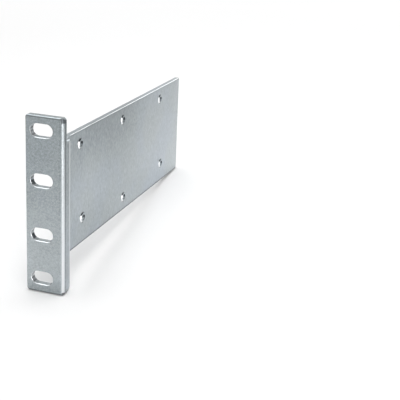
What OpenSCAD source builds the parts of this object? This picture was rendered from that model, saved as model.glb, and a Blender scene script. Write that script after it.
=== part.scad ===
// Rack mount ear bracket for the left side of a 2U chassis, folded from one steel sheet.
// The origin is on the ear's rear face, where the rack rail seats, on the column of slots
// and at half the ear's height. +Y runs back along the chassis, +X points to the chassis.

/* [Sheet] */
// Thickness of the sheet
sheet_t = 3; // [2.5:0.1:4]
// How far the side plate is pressed back from the fold's chassis face
press_step = 0.5; // [0.2:0.1:1]

/* [Ear] */
// Width of the ear from its free edge to the fold's chassis face
ear_w = 19.8; // [18:0.1:26]
// Height of the ear, two rack units less the gap between panels
ear_h = 88; // [80:1:100]
// Radius of the ear's four corners
ear_corner_r = 1.5; // [1:0.1:3]
// Radius of the worn edge round the ear's front face
ear_edge_r = 0.6; // [0.2:0.1:0.9]

/* [Fold] */
// Outer radius of the fold
fold_r = 2.5; // [1:0.1:3]
// Inner radius of the fold
fold_inner_r = 0.8; // [0.3:0.1:1.5]
// Depth of the shoulder that the fold leaves, from the ear's front face
shoulder_d = 7.8; // [7:0.1:12]
// How far the shoulder stops below the ear's top
shoulder_top_gap = 10.6; // [10.5:0.1:16]
// How far the shoulder stops above the ear's bottom
shoulder_bottom_gap = 0.8; // [0.5:0.1:4]
// Radius of the shoulder's free corners
shoulder_corner_r = 2; // [1.9:0.1:2.6]
// Radius at which the shoulder's chassis face rolls down to the side plate
shoulder_edge_r = 1.6; // [1:0.1:1.8]

/* [Side plate] */
// Length of the side plate behind the ear's rear face
plate_l = 153; // [120:1:180]
// Height of the side plate
plate_h = 58.2; // [50:0.1:62]
// How far the side plate's top lies below the ear's top
plate_top_gap = 9.6; // [8:0.1:10.4]
// Radius of the side plate's far corners
plate_corner_r = 0.8; // [0.6:0.1:1.4]
// Radius of the worn edge round the side plate's chassis face
plate_edge_r = 0.4; // [0.1:0.1:0.5]

/* [Rack slots] */
// Length of a slot, across the ear
slot_l = 11.4; // [8:0.1:12.5]
// Width of a slot, up the ear
slot_w = 6.5; // [5:0.1:8]
// From the ear's free edge to the middle of the slots
slot_edge = 8.3; // [7.5:0.1:8.6]
// Radius of the rim at the front of a slot
slot_rim_r = 0.5; // [0.1:0.1:0.8]

/* [Chassis screws] */
// Diameter of a screw hole
screw_d = 3; // [2.4:0.1:3.4]
// Diameter of the rim raised round a screw hole, where it leaves the side plate's face
rim_d = 5.6; // [5.4:0.1:7]
// Diameter of the countersink at the outer face
sink_d = 6; // [5:0.1:6.6]
// Full angle of the countersink, and of the rim's cone
sink_angle = 90; // [82:1:100]

/* [Hidden] */
$fn = 72;
// Overrun of every cut past the face it breaks
over = 1;

// Heights of the slots from the ear's middle, as shares of the ear's height
slot_shares = [-0.416, -0.1625, 0.1443, 0.4193];
// Places of the screw holes: shares of the plate's length from the ear's rear face,
// and of its height from its lower edge
screw_shares = [
    [0.102, 0.883], [0.435, 0.883], [0.789, 0.883],
    [0.120, 0.223], [0.451, 0.129], [0.816, 0.191],
];

// Planes across the ear, from its free edge to the fold
ear_free_x = -slot_edge;
fold_x = ear_free_x + ear_w;
outer_x = fold_x - sheet_t;
plate_t = sheet_t - press_step;

// Heights of the shoulder and the side plate
shoulder_h = ear_h - shoulder_top_gap - shoulder_bottom_gap;
shoulder_z = -ear_h / 2 + shoulder_bottom_gap + shoulder_h / 2;
plate_z = ear_h / 2 - plate_top_gap - plate_h / 2;
fillet_low_z = -ear_h / 2 + shoulder_bottom_gap + shoulder_corner_r;
fillet_high_z = ear_h / 2 - plate_top_gap;

// The side plate grows out of the middle of the ear's thickness
plate_root = sheet_t / 2;
plate_whole_l = plate_l + plate_root;

// Depth of the countersink
sink_depth = (sink_d - screw_d) / 2 / tan(sink_angle / 2);

// The rim's cone starts at half the side plate's thickness and ends level with the shoulder
rim_root_d = rim_d + plate_t * tan(sink_angle / 2);
rim_top_d = rim_d - 2 * press_step * tan(sink_angle / 2);

// Half a slab's section from its middle out: flat below, its upper edge rounded
module half_section(half, thick, edge_r) {
    square([half, thick - edge_r]);
    square([half - edge_r, thick]);
    translate([half - edge_r, thick - edge_r]) intersection() {
        circle(r = edge_r);
        square(edge_r);
    }
}

// A bar of a slab, with its two long upper edges rounded
module slab_bar(across, along, thick, edge_r) {
    rotate([90, 0, 0])
        linear_extrude(along, center = true)
            for (side = [0, 1]) mirror([side, 0]) half_section(across / 2, thick, edge_r);
}

// A flat slab on its middle, with round corners and a rounded edge round its upper face
module slab(across, along, thick, corner_r, edge_r) {
    slab_bar(across, along - 2 * corner_r, thick, edge_r);
    rotate(90) slab_bar(along, across - 2 * corner_r, thick, edge_r);
    for (i = [-1, 1], j = [-1, 1])
        translate([i * (across / 2 - corner_r), j * (along / 2 - corner_r)])
            rotate_extrude() half_section(corner_r, thick, edge_r);
}

// What rounding a corner takes away: a square with its inner quarter circle left out
module corner_waste(r, length) {
    linear_extrude(length, center = true) difference() {
        square(r + over);
        circle(r = r);
    }
}

// The ear, with its worn edge to the front
module ear() {
    translate([fold_x - ear_w / 2, 0, 0])
        rotate([90, 0, 0])
            slab(ear_w, ear_h, sheet_t, ear_corner_r, ear_edge_r);
}

// Turns a slab up so that its upper face looks at the chassis, its length along Y
module to_chassis(x, y, z) {
    translate([x, y, z]) rotate([90, 0, 90]) children();
}

// The short leg of the fold, proud of the side plate
module shoulder() {
    to_chassis(outer_x, shoulder_d / 2 - sheet_t, shoulder_z)
        slab(shoulder_d, shoulder_h, sheet_t, shoulder_corner_r, shoulder_edge_r);
}

// The side plate, pressed back from the shoulder
module side_plate() {
    to_chassis(outer_x, plate_whole_l / 2 - plate_root, plate_z)
        slab(plate_whole_l, plate_h, plate_t, plate_corner_r, plate_edge_r);
}

// Metal that fills the inside of the fold
module fold_fillet() {
    height = fillet_high_z - fillet_low_z;
    translate([outer_x, 0, fillet_low_z + height / 2])
        linear_extrude(height, center = true) difference() {
            translate([-fold_inner_r, 0]) square(fold_inner_r);
            translate([-fold_inner_r, fold_inner_r]) circle(r = fold_inner_r);
        }
}

// The outside corner of the fold that bending rounds away, over the ear's whole height
module fold_waste() {
    translate([fold_x - fold_r, fold_r - sheet_t, 0])
        rotate(-90)
            corner_waste(fold_r, ear_h + 2 * over);
}

// Section of a rim's waste: what rounding the edge of a hole of half width half takes away
module rim_section(half, edge_r) {
    translate([half, 0]) difference() {
        square([edge_r, edge_r + over]);
        translate([edge_r, 0]) circle(r = edge_r);
    }
    square([half, edge_r + over]);
}

// One slot: the straight cut and its rounded rim at the front
module slot_cut() {
    reach = (slot_l - slot_w) / 2;
    half_w = slot_w / 2;
    rim_z = sheet_t - slot_rim_r;
    rotate([90, 0, 0]) {
        translate([0, 0, -over]) linear_extrude(sheet_t + 2 * over) {
            square([2 * reach, slot_w], center = true);
            for (side = [-1, 1]) translate([side * reach, 0]) circle(r = half_w);
        }
        translate([0, 0, rim_z]) {
            for (side = [-1, 1])
                translate([side * reach, 0, 0]) rotate_extrude() rim_section(half_w, slot_rim_r);
            rotate([90, 0, 90])
                linear_extrude(2 * reach, center = true)
                    for (side = [0, 1]) mirror([side, 0]) rim_section(half_w, slot_rim_r);
        }
    }
}

// Puts a screw hole's form at each of its places, pointing to the chassis
module at_screws() {
    for (share = screw_shares)
        translate([outer_x, share[0] * plate_l, plate_z + (share[1] - 0.5) * plate_h])
            rotate([0, 90, 0]) children();
}

// The rim that the countersinking punch raises round one screw hole
module screw_rim() {
    translate([0, 0, plate_t / 2])
        cylinder(d1 = rim_root_d, d2 = rim_top_d, h = plate_t / 2 + press_step);
}

// One screw hole through the side plate and its rim, countersunk from the outer face
module screw_cut() {
    translate([0, 0, -over]) cylinder(d = screw_d, h = sheet_t + 2 * over);
    cylinder(d1 = sink_d, d2 = screw_d, h = sink_depth);
    translate([0, 0, -over]) cylinder(d = sink_d, h = over);
}

module ear_bracket() {
    color("silver") difference() {
        union() {
            ear();
            shoulder();
            side_plate();
            fold_fillet();
            at_screws() screw_rim();
        }
        fold_waste();
        for (share = slot_shares) translate([0, 0, share * ear_h]) slot_cut();
        at_screws() screw_cut();
    }
}

ear_bracket();
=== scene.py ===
import math

import bpy
import numpy as np
from mathutils import Matrix, Vector

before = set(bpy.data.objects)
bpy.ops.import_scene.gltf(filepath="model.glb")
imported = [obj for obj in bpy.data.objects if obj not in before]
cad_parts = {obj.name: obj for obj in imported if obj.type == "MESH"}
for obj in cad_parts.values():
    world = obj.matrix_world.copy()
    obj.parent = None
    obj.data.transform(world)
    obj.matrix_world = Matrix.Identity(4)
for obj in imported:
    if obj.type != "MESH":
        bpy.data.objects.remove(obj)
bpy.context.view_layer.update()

# ---------------------------------------------------------------- the bracket
# One sheet of mild steel, punched, folded and pressed, then electroplated with zinc and given a
# clear blue passivation. The plating is satin and finely grained, and scored along the sheared
# edges. Painted shade darkens it toward the top and beside the fold, and a painted highlight
# runs round the outside of the bend.

# Planes of the bracket, from which the borders of the finish are measured
EAR_LEFT, EAR_RIGHT = -0.0083, 0.0115        # the shoulder's face is at the ear's right too
EAR_LOW, EAR_TOP = -0.044, 0.044
BEND_LEFT = 0.0075                           # what stands left of it belongs to the ear alone
SHOULDER_END = 0.0048
PLATE_LOW, PLATE_TOP, PLATE_END = -0.0238, 0.0344, 0.153

GRAIN = 0.0009                               # size of the coarse grain
FINE_GRAIN = 0.0004                          # size of the fine grain
CLOUD = 0.035                                # size of the clouds
STREAK = 0.00025                             # width of a shear mark
GRAIN_UPRIGHT = 0.35                         # scale of the side plate's grain up and down
MARK_ALONG = 0.08                            # scale of a shear mark along its run

GRAIN_HEIGHT, FINE_HEIGHT, MARK_HEIGHT = 0.000012, 0.000006, 0.00002
ROUGHNESS = 0.38
GRAIN_ROUGH, CLOUD_ROUGH, CUT_ROUGH = 0.12, 0.1, 0.06

ZINC_DARK = (0.224, 0.251, 0.260, 1.0)
ZINC_PALE = (0.517, 0.557, 0.575, 1.0)
ZINC_BLUE = (0.506, 0.552, 0.596, 1.0)
# The next two colours are a painted highlight and a painted glint, and SHADE is painted shade
PAINTED_HIGHLIGHT = (0.700, 0.720, 0.735, 1.0)
PAINTED_GLINT = (0.930, 0.940, 0.950, 1.0)
SHADE = (0.080, 0.088, 0.094, 1.0)

# The tone runs from 0 (dark zinc) to 1 (pale zinc). What changes with height or depth is per metre
TONE = 0.48
GRAIN_TONE, EAR_GRAIN_TONE = 0.75, 0.05      # what the grain does to it, and what more on the ear
CLOUD_TONE = 0.3                             # what the clouds do to it
SHADE_TOWARD_TOP = 6.5                             # painted shade: how much it falls upward
PALER_FROM, LIGHT_TOWARD_END = 0.05, 3.2           # painted light: how much it rises behind this plane
EAR_SHADE, FOOT_SHADE = 0.13, 0.3              # painted shade: how much the ear's front is darker, and its foot more
CUT_LIGHT = 0.2                               # painted light: how much a cut edge is paler
MARK_TONE, MARK_MIDDLE = 0.5, 0.35           # what a shear mark does to it, about its middle
SHOULDER_SHADE, SHOULDER_SHADE_RISE = 0.09, 1.5     # painted shade: how much the shoulder is darker, and more so upward

# How strongly the painted highlights, glints and shades show, and how much that changes upward per
# metre
BEND_HIGHLIGHT_SHOWS, BEND_HIGHLIGHT_RISE = 0.52, -10.5
BEND_SHADE_SHOWS, BEND_SHADE_RISE = 0.52, 4.0
SHOULDER_HIGHLIGHT_SHOWS, SLOT_WALL_LIGHT_SHOWS = 0.6, 0.8
SLOT_RIM_GLINT_SHOWS, TOP_RIM_GLINT_SHOWS = 0.32, 0.5
HOLLOW_SHADE_SHOWS = 0.85


class Wire:
    """One output of a node. Python's maths on it adds Math nodes."""

    def __init__(self, finish, socket):
        self.finish = finish
        self.socket = socket

    def __getitem__(self, name):
        return Wire(self.finish, self.socket.node.outputs[name])

    def maths(self, operation, *values):
        return self.finish.node("ShaderNodeMath", {"operation": operation}, dict(enumerate(values)))

    def __add__(self, other):
        return self.maths("ADD", self, other)

    def __radd__(self, other):
        return self.maths("ADD", other, self)

    def __sub__(self, other):
        return self.maths("SUBTRACT", self, other)

    def __rsub__(self, other):
        return self.maths("SUBTRACT", other, self)

    def __mul__(self, other):
        return self.maths("MULTIPLY", self, other)

    def __abs__(self):
        return self.maths("ABSOLUTE", self)

    def greater(self, other):
        return self.maths("MAXIMUM", self, other)

    def ramp(self, low, high, kind="SMOOTHSTEP"):
        """0 where this is at or below low, 1 at or above high, and smooth between them.

        With the kind LINEAR it rises evenly.
        """
        values = {"Value": self, "From Min": low, "From Max": high}
        return self.finish.node("ShaderNodeMapRange", {"interpolation_type": kind}, values)

    def falls(self, low, high):
        """1 where this is at or below low, 0 at or above high, and smooth between them."""
        return 1 - self.ramp(low, high)

    def band(self, low, low_full, high_full, high):
        """1 from low_full to high_full, 0 outside low and high, and smooth between them."""
        return self.ramp(low, low_full) * self.falls(high_full, high)


class Finish:
    """The nodes of a material or of the world, from an empty tree on."""

    def __init__(self, owner):
        owner.use_nodes = True
        self.tree = owner.node_tree
        self.tree.nodes.clear()

    def node(self, kind, settings=None, values=None):
        """Adds a node of that kind, sets its settings, then fills or links its sockets."""
        made = self.tree.nodes.new(kind)
        for name, setting in (settings or {}).items():
            setattr(made, name, setting)
        for name, value in (values or {}).items():
            if isinstance(value, Wire):
                self.tree.links.new(value.socket, made.inputs[name])
            else:
                made.inputs[name].default_value = value
        return Wire(self, made.outputs[0]) if made.outputs else None

    def noise(self, where, size, roughness):
        values = {"Vector": where, "Scale": 1 / size, "Detail": 2.0, "Roughness": roughness}
        return self.node("ShaderNodeTexNoise", {"noise_dimensions": "3D"}, values)["Fac"]

    def mix(self, factor, one, other):
        """A colour between one and other."""
        made = self.node("ShaderNodeMix", {"data_type": "RGBA"}, {0: factor, 6: one, 7: other})
        return Wire(self, made.socket.node.outputs[2])


def strongest(*masks):
    """A mask that is at each point as strong as the strongest of the masks."""
    top = masks[0]
    for mask in masks[1:]:
        top = top.greater(mask)
    return top


zinc_plating = bpy.data.materials.new("zinc_plated_steel_satin")
zinc = Finish(zinc_plating)
place = zinc.node("ShaderNodeTexCoord")["Object"]
facing = zinc.node("ShaderNodeTexCoord")["Normal"]
at = zinc.node("ShaderNodeSeparateXYZ", values={0: place})
turned = zinc.node("ShaderNodeSeparateXYZ", values={0: facing})
x, y, z = at["X"], at["Y"], at["Z"]
to_right, to_rear, to_top = turned["X"], turned["Y"], turned["Z"]
to_left, to_front, to_floor = 0 - to_right, 0 - to_rear, 0 - to_top

# The parts of the bracket: the ear's flat, the bend, the shoulder, and the side plate behind it,
# whose flat ends short of its edges. The slots lie below the head of the ear
on_ear = x.falls(BEND_LEFT - 0.0005, BEND_LEFT)
on_bend = y.falls(-0.0002, 0.0)
ear = on_ear.greater(on_bend)
ear_front = on_ear.greater(on_bend * to_front.ramp(0.85, 0.97))
on_shoulder = x.ramp(EAR_RIGHT - 0.0004, EAR_RIGHT - 0.0003)
behind_shoulder = y.ramp(SHOULDER_END - 0.0003, SHOULDER_END + 0.0002)
in_plate = z.band(PLATE_LOW + 0.0018, PLATE_LOW + 0.0028, PLATE_TOP - 0.0024, PLATE_TOP - 0.0014)
in_plate = in_plate * y.ramp(SHOULDER_END + 0.0032, SHOULDER_END + 0.0042)
in_plate = in_plate * y.falls(PLATE_END - 0.004, PLATE_END - 0.003)
under_head = z.falls(EAR_TOP - 0.002, EAR_TOP - 0.0017)

# Where the sheet was cut through: the edges that look up and down, the far end, the slots' walls
cut_level = abs(to_top).ramp(0.55, 0.85)
cut_end = abs(to_rear).ramp(0.55, 0.85) * (1 - on_ear) * y.ramp(0.01, 0.012)
cut_wall = abs(to_right).ramp(0.55, 0.85) * on_ear
cut = strongest(cut_level, cut_end, cut_wall)

# The walls of the screw holes get painted shade. The cones round the holes get a painted
# highlight, and painted shade where they face up and straight down
hole_shade = in_plate * abs(to_right).falls(0.3, 0.6) * (1 - to_top.ramp(0.1, 0.4) * 0.7)
cone = in_plate * to_right.band(0.5, 0.65, 0.75, 0.9)
cone_glint = 1 - to_top.ramp(0.35, 0.5).greater(to_floor.ramp(0.55, 0.64))

# The bend's outer curve: a painted highlight at 45 degrees, and painted shade where it runs into
# the shoulder
bend_highlight = on_bend * to_right.band(0.38, 0.68, 0.88, 0.95)
bend_shade = on_bend * to_right.band(0.90, 0.96, 0.985, 0.999)

# The end of the shoulder gets a painted highlight too, where it rolls down to the side plate
shoulder_highlight = on_shoulder * to_top.falls(0.1, 0.3) * y.ramp(SHOULDER_END - 0.0024, SHOULDER_END - 0.002)
shoulder_highlight = shoulder_highlight * y.falls(SHOULDER_END - 0.0009, SHOULDER_END - 0.0006)

# Painted shade: thin dark lines along the ear's foot and head and the side plate's lower, far and
# upper edges, and dark spots at the ear's top corners
foot = z.falls(EAR_LOW + 0.0005, EAR_LOW + 0.001)
foot_corner = z.falls(EAR_LOW + 0.001, EAR_LOW + 0.0016)
foot_corner = foot_corner * x.ramp(EAR_RIGHT - 0.0015, EAR_RIGHT - 0.001)
low_edge = behind_shoulder * z.falls(PLATE_LOW + 0.0005, PLATE_LOW + 0.0013)
far_edge = to_rear.ramp(0.1, 0.5) * y.ramp(PLATE_END - 0.013, PLATE_END - 0.003)
head = z.ramp(EAR_TOP - 0.0012, EAR_TOP - 0.0009) * to_front.ramp(0.80, 0.95)
top_edge = behind_shoulder * to_right.ramp(0.8, 0.95)
top_edge = top_edge * z.ramp(PLATE_TOP - 0.0012, PLATE_TOP - 0.0008)
corner = z.ramp(EAR_TOP - 0.0029, EAR_TOP - 0.0023) * to_top.falls(0.5, 0.75)
corner = corner * x.ramp(EAR_RIGHT - 0.0017, EAR_RIGHT - 0.0012) * y.falls(-0.0008, 0.0)
left_corner = z.ramp(EAR_TOP - 0.0016, EAR_TOP - 0.001)
left_corner = left_corner * x.falls(EAR_LEFT + 0.0004, EAR_LEFT + 0.0009)
edge_shade = strongest(foot * 0.6, foot_corner * 0.95, low_edge * 0.7, far_edge * 0.6, head * 0.55,
                  top_edge * 0.25, corner * 0.95, left_corner * 0.6)

# A slot gets painted shade on its lower left and at its lower right corner, painted light on its
# left wall, and a painted highlight round its left and lower rims. The side plate's upper edge
# gets a painted highlight too
slot_wall = on_ear * x.ramp(EAR_LEFT + 0.0005, EAR_LEFT + 0.0007) * abs(to_rear).falls(0.3, 0.6)
slot_shade = slot_wall * to_right.ramp(0.45, 0.65) * to_top.ramp(0.1, 0.3)
slot_corner_shade = on_ear * under_head * x.ramp(0.0, 0.001) * to_left.ramp(0.3, 0.5) * to_top.ramp(0.3, 0.5)
slot_wall_light = slot_wall * to_right.ramp(0.3, 0.6)
slot_rim_glint = on_ear * under_head * to_front.band(0.2, 0.4, 0.85, 0.97)
slot_rim_glint = slot_rim_glint * to_right.greater(to_top).ramp(0.15, 0.35)
top_rim_glint = behind_shoulder * z.ramp(PLATE_TOP - 0.0008, PLATE_TOP - 0.0006)
top_rim_glint = top_rim_glint * to_right.band(0.2, 0.4, 0.85, 0.97)

# The grain is even on the ear, and drawn out up and down on the side plate
upright = GRAIN_UPRIGHT + ear * (1 - GRAIN_UPRIGHT)
upward = zinc.node("ShaderNodeCombineXYZ", values={0: 1.0, 1: 1.0, 2: upright})
drawn = zinc.node("ShaderNodeVectorMath", {"operation": "MULTIPLY"}, {0: place, 1: upward})
grain = zinc.noise(drawn, GRAIN, 0.6)
fine = zinc.noise(drawn, FINE_GRAIN, 0.6)
cloud = zinc.noise(place, CLOUD, 0.5)
shifted = zinc.node("ShaderNodeMapping", values={"Vector": place, "Location": (0.3, 0.7, 0.2)})
tint = zinc.noise(shifted, CLOUD * 0.8, 0.5)

# Shear marks run through the sheet, along Y on the ear and along X on the side plate
along_y = zinc.node("ShaderNodeMapping", values={"Vector": place, "Scale": (1, MARK_ALONG, 1)})
along_x = zinc.node("ShaderNodeMapping", values={"Vector": place, "Scale": (MARK_ALONG, 1, 1)})
marks_ear = zinc.noise(along_y, STREAK, 0.6)
marks_side = zinc.noise(along_x, STREAK, 0.6)
marks = marks_ear * on_ear + marks_side * (1 - on_ear)

# The tone: grain and clouds, then painted shade toward the top, on the ear's front and foot and on
# the shoulder, and painted light toward the far end and on the cut edges
tone = TONE + (grain + fine - 1) * (GRAIN_TONE + ear * EAR_GRAIN_TONE)
tone = tone + (cloud - 0.5) * CLOUD_TONE
tone = tone - z * SHADE_TOWARD_TOP + (y - PALER_FROM).greater(0.0) * LIGHT_TOWARD_END
tone = tone - ear_front * (EAR_SHADE + z.falls(EAR_LOW + 0.0015, EAR_LOW + 0.008) * FOOT_SHADE)
tone = tone + cut * (CUT_LIGHT - (marks - MARK_MIDDLE) * MARK_TONE)
shoulder_face = on_shoulder * y.falls(SHOULDER_END - 0.0008, SHOULDER_END + 0.0002)
tone = tone - shoulder_face * (SHOULDER_SHADE + z * SHOULDER_SHADE_RISE)

# Painted light and shade in patches on the side plate: darker in its upper half, and near the
# shoulder paler at half height and darker above and below
tone = tone - y.band(0.01, 0.05, 0.06, 0.11) * z.ramp(0.0, 0.03) * 0.2
near = y.band(0.004, 0.008, 0.02, 0.06)
tone = tone + near * z.band(-0.012, 0.0, 0.006, 0.022) * 0.13
tone = tone - near * z.falls(-0.020, -0.006) * 0.09 - near * z.ramp(0.018, 0.03) * 0.06

# The colour: the plating's own, then the painted highlights, glints and shades, one over the other
colour = zinc.mix(tint.ramp(0.42, 0.62), ZINC_PALE, ZINC_BLUE)
colour = zinc.mix(tone.ramp(0.0, 1.0, "LINEAR"), ZINC_DARK, colour)
colour = zinc.mix(bend_highlight * (BEND_HIGHLIGHT_SHOWS + z * BEND_HIGHLIGHT_RISE), colour, PAINTED_HIGHLIGHT)
shoulder_or_slot_light = strongest(shoulder_highlight * SHOULDER_HIGHLIGHT_SHOWS, slot_wall_light * SLOT_WALL_LIGHT_SHOWS)
colour = zinc.mix(shoulder_or_slot_light, colour, PAINTED_HIGHLIGHT)
painted_glints = strongest(cone * cone_glint, slot_rim_glint * SLOT_RIM_GLINT_SHOWS, top_rim_glint * TOP_RIM_GLINT_SHOWS)
colour = zinc.mix(painted_glints, colour, PAINTED_GLINT)
colour = zinc.mix(strongest(bend_shade * (BEND_SHADE_SHOWS + z * BEND_SHADE_RISE), edge_shade), colour, SHADE)
hollow_shade = strongest(hole_shade, slot_shade, slot_corner_shade, cone * (1 - cone_glint))
colour = zinc.mix(hollow_shade * HOLLOW_SHADE_SHOWS, colour, SHADE)

height = (grain - 0.5) * GRAIN_HEIGHT + (fine - 0.5) * FINE_HEIGHT
height = height + cut * (marks - 0.5) * MARK_HEIGHT
bump = zinc.node("ShaderNodeBump", values={"Strength": 1.0, "Distance": 1.0, "Height": height})
roughness = ROUGHNESS + (grain - 0.5) * GRAIN_ROUGH + (cloud - 0.5) * CLOUD_ROUGH + cut * CUT_ROUGH
shader = zinc.node("ShaderNodeBsdfPrincipled", values={
    "Base Color": colour,
    "Metallic": 1.0,
    "Roughness": roughness,
    "Normal": bump,
})
zinc.node("ShaderNodeOutputMaterial", values={"Surface": shader})

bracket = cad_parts["ear_bracket"]
for slot in bracket.material_slots:
    slot.material = zinc_plating

# ---------------------------------------------------------------- the floor
# A sheet of white card. The bracket leans back on it, on the ear's lower rear edge and the side
# plate's far lower corner, so in the bracket's own frame the card rises to the rear.

FLOOR_AT = Vector((0.0, 0.0, EAR_LOW))
FLOOR_FAR = Vector((0.0, PLATE_END, PLATE_LOW))
FLOOR_SIZE = 12.0
FLOOR_GAP = 0.00005
CARD_WHITE = (0.945, 0.945, 0.945, 1)
PLAIN_GLOW = 1.05            # glow of the plain white that the camera sees in the card
SEEN_GLOW = 0.04             # share of plain white near the bracket
PLAIN_FROM, PLAIN_AT = 0.3, 0.8              # between these distances the share grows to 1

rise = (FLOOR_FAR.z - FLOOR_AT.z) / (FLOOR_FAR.y - FLOOR_AT.y)
spread = np.array([(-1, -1), (1, -1), (1, 1), (-1, 1)]) * FLOOR_SIZE / 2
heights = FLOOR_AT.z - FLOOR_GAP + rise * spread[:, 1]
corners = np.column_stack([spread, heights])
floor_mesh = bpy.data.meshes.new("floor")
floor_mesh.from_pydata(corners.tolist(), [], [(0, 1, 2, 3)])
floor = bpy.data.objects.new("floor", floor_mesh)
bpy.context.collection.objects.link(floor)

white_card = bpy.data.materials.new("white_card")
card = Finish(white_card)
card_shader = card.node("ShaderNodeBsdfDiffuse", values={"Color": CARD_WHITE})
card_glow = card.node("ShaderNodeEmission", values={"Strength": PLAIN_GLOW})
spot = card.node("ShaderNodeTexCoord")["Object"]
away = card.node("ShaderNodeVectorMath", {"operation": "LENGTH"}, {0: spot})["Value"]
share = away.ramp(PLAIN_FROM, PLAIN_AT).greater(SEEN_GLOW)
seen = card.node("ShaderNodeLightPath")["Is Camera Ray"] * share
card_mix = card.node("ShaderNodeMixShader", values={0: seen, 1: card_shader, 2: card_glow})
card.node("ShaderNodeOutputMaterial", values={"Surface": card_mix})
floor_mesh.materials.append(white_card)

# ---------------------------------------------------------------- the light
# A pale wall stands round the card, and the room above it is dark. Two wide soft lamps light the
# card: one overhead, and one over the front on the right, which the metal doesn't mirror. The
# other lamps only show in the metal.

WALL_GLOW = 1.0
WALL_TOP, ROOM_FROM = 0.36, 0.50             # the wall fades out between these heights of view
WHITE, BLACK = (1, 1, 1, 1), (0, 0, 0, 1)
LAMPS_AIM = Vector((0, 0.03, 0))

world = bpy.data.worlds.new("room")
bpy.context.scene.world = world
room = Finish(world)
toward = room.node("ShaderNodeTexCoord")["Generated"]
climb = room.node("ShaderNodeSeparateXYZ", values={0: toward})["Z"]
wall = room.mix(climb.ramp(WALL_TOP, ROOM_FROM), WHITE, BLACK)
back = room.node("ShaderNodeBackground", values={"Color": wall, "Strength": WALL_GLOW})
room.node("ShaderNodeOutputWorld", values={"Surface": back})


def soft_lamp(name, bearing, lift, reach, size, glow, on_card=False, in_metal=True):
    """Makes an area lamp of that size and glow, turned to the bracket.

    Bearing 0 is behind the bracket and 90 at its right. Lift is the angle above the card.
    """
    data = bpy.data.lights.new(name, "AREA")
    data.shape = "RECTANGLE"
    data.size, data.size_y = size
    data.energy = glow * math.pi * data.size * data.size_y
    lamp = bpy.data.objects.new(name, data)
    bearing, lift = math.radians(bearing), math.radians(lift)
    flat = reach * math.cos(lift)
    stand = Vector((flat * math.sin(bearing), flat * math.cos(bearing), reach * math.sin(lift)))
    stand.z += FLOOR_AT.z + rise * stand.y
    lamp.location = stand
    lamp.rotation_euler = (LAMPS_AIM - stand).to_track_quat("-Z", "Y").to_euler()
    lamp.visible_camera = False
    lamp.visible_diffuse = on_card
    lamp.visible_glossy = in_metal
    bpy.context.collection.objects.link(lamp)


soft_lamp("lamp_over", 0, 81, reach=1.2, size=(1.3, 1.0), glow=3.25, on_card=True)
soft_lamp("lamp_front", 150, 50, reach=1.2, size=(1.0, 0.8), glow=2.05,
          on_card=True, in_metal=False)
soft_lamp("lamp_right", 127, 12, reach=0.6, size=(0.26, 0.36), glow=7.0)
soft_lamp("lamp_back", -28, 22, reach=1.5, size=(1.3, 0.5), glow=0.7)
soft_lamp("lamp_left", 208, 10, reach=0.7, size=(0.3, 0.3), glow=1.2)
soft_lamp("lamp_rear", 20, 10, reach=0.9, size=(0.4, 0.3), glow=4.0)
soft_lamp("lamp_rims", 230, 54, reach=1.2, size=(0.9, 0.8), glow=5.0)

# ---------------------------------------------------------------- the camera
# It stands in front of the ear, to the right of it and above it, and looks down past its right
# side, so the bracket fills the left half of the view.

PICTURE_PX = 400
LENS_PX = 892.216            # focal length in pixels of that picture
SENSOR = 36.0
VIEW_SHIFT = -0.1
NEAREST = 0.01
YAW, PITCH, ROLL = 0.310, 0.297, 0.048
STAND = Vector((0.189721, -0.355158, 0.146974))

level = math.cos(PITCH)
level_right = Vector((math.cos(YAW), math.sin(YAW), 0))
forward = Vector((-level * math.sin(YAW), level * math.cos(YAW), -math.sin(PITCH)))
level_up = level_right.cross(forward)
right = math.cos(ROLL) * level_right + math.sin(ROLL) * level_up
up = -math.sin(ROLL) * level_right + math.cos(ROLL) * level_up

camera_data = bpy.data.cameras.new("camera")
camera_data.sensor_width = SENSOR
camera_data.lens = LENS_PX / PICTURE_PX * SENSOR
camera_data.shift_y = VIEW_SHIFT
camera_data.clip_start = NEAREST
camera = bpy.data.objects.new("camera", camera_data)
turn = Matrix((right, up, -forward)).transposed()
camera.matrix_world = Matrix.Translation(STAND) @ turn.to_4x4()
bpy.context.collection.objects.link(camera)
bpy.context.scene.camera = camera

bpy.context.scene.view_settings.view_transform = "Standard"
